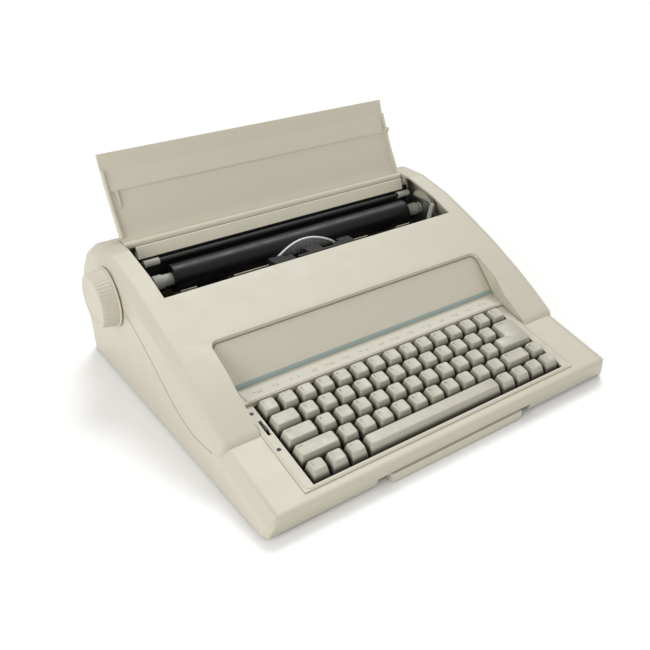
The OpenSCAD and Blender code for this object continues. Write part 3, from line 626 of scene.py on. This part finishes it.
def bezel_ridge():
    """A thin raised ridge that follows the bezel's outline, round at the two front corners."""
    wide, rear = 15 * PITCH, 5 * PITCH + 1.2
    margin, front, radius = 9.6, -3.3, 6.5
    path = [(wide + margin, rear), (wide + margin, 3.5)]
    path += quarter(wide + margin - radius, front + radius, radius, 0)
    path += quarter(-margin + radius, front + radius, radius, -90)
    path.append((-margin, rear))
    strand = tube([key_point(u, v, 0.05) for u, v in path], 0.45 * MM, 8)
    piece("bezel_ridge", strand, "bezel_plastic", "case", smooth=60)


def stripe_band():
    """The narrow painted stripe along the foot of the sunken panel, lying on the panel's slope."""
    lo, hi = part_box("accent_stripe")
    slope = math.radians(47.49)
    y0 = lo[1] / MM + 0.6 * math.sin(slope)
    z0 = lo[2] / MM
    section = ((0.9, 0.05), (5.3, 0.05), (5.3, 0.45), (5.0, 0.58), (1.2, 0.58), (0.9, 0.45))
    outline = [(y0 + along * math.cos(slope) - out * math.sin(slope),
                z0 + along * math.sin(slope) + out * math.cos(slope)) for along, out in section]
    shape = prism(outline, lo[0] / MM, hi[0] / MM)
    piece("stripe_band", shape, "stripe_paint", "case", "accent_stripe", smooth=40)


def bezel_holes():
    """The two dark hole mouths left of the keys."""
    mouths = []
    for v in (43, 88):
        rings = [[key_point(-6.5 + r * math.cos(a), v + r * math.sin(a), w) for a in around(24)]
                 for r, w in ((0.2, 0.06), (1.75, 0.06), (1.9, 0.02), (1.9, -0.2))]
        mouths.append(loft(rings, True, True))
    piece("bezel_holes", join(mouths), "black_plastic", "case", smooth=40)


def legend_marks():
    """Short bars over each key of the rear row, up to three side by side, the first in one line and the
    others in two."""
    lo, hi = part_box("legend_strip")
    middle = (lo[1] + hi[1]) / 2
    z = hi[2] + 0.03 * MM
    half = 0.4 * MM
    bars = []
    for key in range(15):
        cx = (KEYS_X + (key + 0.5) * PITCH) * MM
        for k, (start, end) in enumerate(((-4.2, -0.8), (0.2, 2.6), (3.2, 5.0))):
            if (key + k) % 4 == 3:
                continue
            for line in (1.0, -0.9) if k else (1.0,):
                x0, x1, y = cx + start * MM, cx + end * MM, middle + line * MM
                corners = [(x0, y - half, z), (x1, y - half, z), (x1, y + half, z), (x0, y + half, z)]
                bars.append((corners, [(0, 1, 2, 3)]))
    piece("legend_marks", join(bars), "legend_ink", "case")


# ---------------------------------------------------------------- knob

def knob():
    """The fluted knob: a collar on the shaft, a disc at the wall, the grip and its hollowed face."""
    lo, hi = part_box("platen_knob")
    cy, cz = (lo[1] + hi[1]) / 2, (lo[2] + hi[2]) / 2
    rim = (hi[1] - lo[1]) / 2 / MM
    outer = lo[0] / MM
    inner = -198.0
    points, flutes, flute_depth = 288, 48, 0.55
    # each point has its place along X, its radius, and how much of the flutes' depth it has
    collar = [(-189.0, 4.2, 0), (-189.0, 8.0, 0), (inner, 8.0, 0)]
    disc = [(inner - d, rim - s, 0) for d, s in ((0, 0.6), (0.5, 0), (1.2, 0), (1.6, 0.5), (1.9, 1.6))]
    grip = [(inner - d, rim - s, share) for d, s, share in (
        (2.3, 1.5, 0.3), (3.2, 1.4, 1), (8, 2.1, 1), (13.5, 2.8, 1), (15.0, 3.1, 0.8))]
    edge = [(outer + d, rim - s, share) for d, s, share in (
        (1.2, 3.5, 0.2), (0.5, 4.1, 0), (0.1, 5.2, 0), (0, 6.6, 0))]
    hollow = [(outer + d, rim - s, 0) for d, s in ((0.2, 7.6), (0.9, 8.6), (1.2, 10.5))]
    hub = [(outer + 0.9, 9.0, 0), (outer + 0.8, 0.8, 0)]
    rings = []
    for x, radius, share in collar + disc + grip + edge + hollow + hub:
        ring = []
        for a in around(points):
            r = radius - share * flute_depth * (0.5 + 0.5 * math.cos(a * flutes)) ** 1.5
            ring.append((x * MM, cy + r * MM * math.cos(a), cz + r * MM * math.sin(a)))
        rings.append(ring)
    piece("knob_shell", loft(rings, cap_last=True), "case_plastic", "platen", "platen_knob", smooth=60)


# ---------------------------------------------------------------- lid

LID_HINGE = next(j for j in frame["record"]["behaviour"]["joints"] if j["name"] == "lid_hinge")
LID_AXIS = (LID_HINGE["pos_m"][1] / MM, LID_HINGE["pos_m"][2] / MM)
LID_OPEN = math.radians(LID_HINGE["range_deg"][1])


def lid_point(x, y, z):
    """A point of the closed lid, in millimetres, turned to the open lid at rest."""
    dy, dz = y - LID_AXIS[0], z - LID_AXIS[1]
    cos, sin = math.cos(LID_OPEN), math.sin(LID_OPEN)
    return (x * MM, (LID_AXIS[0] + dy * cos + dz * sin) * MM, (LID_AXIS[1] - dy * sin + dz * cos) * MM)


def lid():
    """The lid with a raised band along its free edge, the catch at the right and the hook at the left."""
    soften("top_lid", 0.6, smooth=50, seg=3)
    soften("bail_bar", 0.2, mat="dark_rod")
    band = [(47.2, 119.6), (47.6, 118.7), (57.0, 120.9), (65.6, 122.7), (66.8, 123.3), (67.6, 124.2),
            (68.0, 125.3)]
    piece("lid_band", prism(band, -166.4, 166.4, lid_point), "lid_plastic", "lid", bevel=0.5, seg=3)
    catch = [(62, 124.8), (70, 127.6), (69.4, 119.5), (67.6, 115.6), (64.6, 115.6), (64.6, 117.6),
             (66.2, 118.6), (66.0, 121.5)]
    piece("lid_catch", prism(catch, 165.4, 168.8, lid_point), "lid_plastic", "lid", bevel=0.3)
    hook = [(67.3, 124.8), (84, 129.8), (83.2, 126.6), (80.0, 125.0), (70.5, 122.2), (67.5, 121.8)]
    piece("lid_hook", prism(hook, -160.2, -158.8, lid_point), "lid_plastic", "lid", bevel=0.3)


# ---------------------------------------------------------------- print area

card_lo, card_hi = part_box("card_holder")
roller_lo, roller_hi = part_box("platen_roller")
CARD_X = (card_lo[0] + card_hi[0]) / 2 / MM
PLATEN_Y = (roller_lo[1] + roller_hi[1]) / 2 / MM
PLATEN_Z = (roller_lo[2] + roller_hi[2]) / 2 / MM
CARD_R = (roller_hi[1] - roller_lo[1]) / 2 / MM + 2.0


def arc_top(x):
    """Height of the arc along the card shield's top, at a distance from its middle."""
    return PLATEN_Z - 50.5 + math.sqrt(60.0 ** 2 - x * x)


def card_point(x, z, radius):
    """A point of the shield's cylinder, in front of the platen."""
    y = PLATEN_Y - math.sqrt(max(0.0, radius ** 2 - (z - PLATEN_Z) ** 2))
    return ((CARD_X + x) * MM, y * MM, z * MM)


def card_shield():
    """The curved transparent shield, just under one millimetre thick, its top cut to an arc."""
    cols, rows = 40, 10
    half_width, half_thick = 43.5, 0.45
    verts, faces = [], []
    for radius in (CARD_R - half_thick, CARD_R + half_thick):
        bottom = PLATEN_Z + radius * math.sin(math.radians(195))
        highest = PLATEN_Z + radius * math.sin(math.radians(140.5))
        for i in range(cols + 1):
            x = -half_width + 2 * half_width * i / cols
            top = min(arc_top(x) - 0.6, highest)
            for k in range(rows + 1):
                verts.append(card_point(x, bottom + (top - bottom) * k / rows, radius))
    n = (cols + 1) * (rows + 1)
    for i in range(cols):
        for k in range(rows):
            a = i * (rows + 1) + k
            b = a + rows + 1
            faces.append((a, b, b + 1, a + 1))
            faces.append((n + a, n + a + 1, n + b + 1, n + b))
    border = [i * (rows + 1) for i in range(cols + 1)]
    border += [cols * (rows + 1) + k for k in range(1, rows + 1)]
    border += [i * (rows + 1) + rows for i in range(cols - 1, -1, -1)]
    border += list(range(rows - 1, 0, -1))
    for a, b in zip(border, border[1:] + border[:1]):
        faces.append((a, b, n + b, n + a))
    piece("card_shield", (verts, faces), "clear_plastic", "carriage", "card_holder", smooth=50)


def card_rim_highlight():
    """A painted highlight along the shield's arc: a pale strand standing for the glint on the clear edge."""
    highest = PLATEN_Z + CARD_R * math.sin(math.radians(139))
    path = [card_point(x, min(arc_top(x) - 0.5, highest), CARD_R) for x in range(-43, 44, 2)]
    piece("card_rim_highlight", tube(path, 1.15 * MM, 10), "white_plastic", "carriage", smooth=60)


def card_prongs():
    """The two black prongs that carry the shield."""
    y = PLATEN_Y - CARD_R - 5
    side = [(y, 70), (y + 5, 70), (y + 5, 96.5), (y + 3.6, 98.8), (y + 1.2, 98.8), (y, 97)]
    prongs = [prism(side, CARD_X + x - 1.5, CARD_X + x + 1.5) for x in (-44, 44)]
    piece("card_prongs", join(prongs), "black_plastic", "carriage", bevel=0.3)


def paper_chute():
    """A pale guide above and a black deflector below it."""
    lo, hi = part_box("paper_chute")
    left, right, top, foot = lo[0] / MM, hi[0] / MM - 11, hi[2] / MM, lo[2] / MM
    pale = [(115.6, top + 5.6), (114.2, top + 5.6), (111.4, top - 6.6), (112.4, top - 7.0),
            (115.2, top - 2.0)]
    piece("chute_guide", prism(pale, left + 0.4, right), "painted_sheet", "case", bevel=0.3)
    black = [(115.4, top - 3.4), (112.4, top - 7.2), (113.4, foot + 2.0), (112.6, 86.0), (117.2, 86.0),
             (117.0, foot)]
    piece("chute_deflector", prism(black, left + 0.6, right + 8), "black_plastic", "case", bevel=0.3)


def collars():
    """The pale collars on the shaft at both ends of the rubber, each wider at its outer end."""
    lo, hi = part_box("platen_collars")
    shapes = []
    for side, end, rubber in ((1, lo[0] / MM, roller_lo[0] / MM), (-1, hi[0] / MM, roller_hi[0] / MM)):
        length = abs(rubber - end)
        rings = []
        for d, r in ((0.0, 4.2), (0.0, 6.6), (1.0, 7.2), (9.0, 7.2), (9.6, 6.2), (length, 6.2),
                     (length, 4.2)):
            rings.append([in_metres(end + side * d, PLATEN_Y + r * math.cos(a), PLATEN_Z + r * math.sin(a))
                          for a in around(64)])
        rings.append(rings[0])
        shapes.append(loft(rings))
    piece("collar_rings", join(shapes), "light_plastic", "platen", "platen_collars", smooth=40)


# ---------------------------------------------------------------- painted shadow lines at the steps and seams between the mouldings

def panel_shadow_line():
    """A painted shadow line round the sunken panel, from one end of the stripe up and over to the other."""
    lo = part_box("accent_stripe")[0]
    slope = math.radians(46.2)
    half = -lo[0] / MM + 0.1
    radius = 7
    y0, z0 = lo[1] / MM - 0.4, lo[2] / MM - 0.9
    y1 = y0 + 32.6
    path = [(-half, y0)] + quarter(-half + radius, y1 - radius, radius, 180)
    path += [(x, y1) for x in range(-140, 141, 20)]
    path += quarter(half - radius, y1 - radius, radius, 90) + [(half, y0)]
    on_slope = [in_metres(x, y, z0 + (y - y0) * math.tan(slope) + 0.25) for x, y in path]
    piece("panel_shadow_line", tube(on_slope, 0.42 * MM, 8), "gap_shadow", "case", smooth=60)


def side_seam_shadow():
    """Painted shade in the seam between cover and case, on both sides: it rises in an S and falls at the
    rear.
    """
    low, high = 32.0, 96.0
    rise_start, rise_length = -72.0, 155.0
    fall_start, fall_length, fall = 150.0, 37.0, 18.0

    def seam_z(y):
        t = max(0.0, min(1.0, (y - rise_start) / rise_length))
        risen = low + (high - low) * (1 - math.cos(math.pi * t)) / 2
        return risen - max(0.0, y - fall_start) * fall / fall_length

    lo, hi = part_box("lower_case")
    strands = []
    for x in (lo[0] - 0.02 * MM, hi[0] + 0.02 * MM):
        path = [(x, -100 * MM, 35.1 * MM), (x, -86 * MM, 33.4 * MM)]
        path += [(x, y * MM, (seam_z(y) - 0.15) * MM) for y in range(-72, 174, 2)]
        strands.append(tube(path, 0.32 * MM, 8))
    piece("side_seam_shadow", join(strands), "seam_shadow", "case", smooth=60)


# ---------------------------------------------------------------- put together

def main():
    look()
    studio()
    plastics()
    paints_and_shadow_lines()
    rubbers()
    metals_and_board()
    for node in NODES:
        dress(node)
    for node in ("lower_case", "upper_cover"):
        soften(node, 0.5)
    for node in ("left_side_frame", "right_side_frame", "carriage_frame", "ribbon_cassette",
                 "release_lever", "bail_rollers", "platen_roller", "paper_chute", "power_inlet",
                 "power_switch", "carrying_handle", "pitch_slider", "rubber_feet", "transformer",
                 "main_board", "legend_strip"):
        soften(node, 0.25)
    lid()
    key_rows()
    return_key()
    soften("keyboard_bezel", 0.3, smooth=40)
    bezel_ridge()
    stripe_band()
    bezel_holes()
    legend_marks()
    knob()
    card_shield()
    card_rim_highlight()
    card_prongs()
    paper_chute()
    collars()
    panel_shadow_line()
    side_seam_shadow()


main()
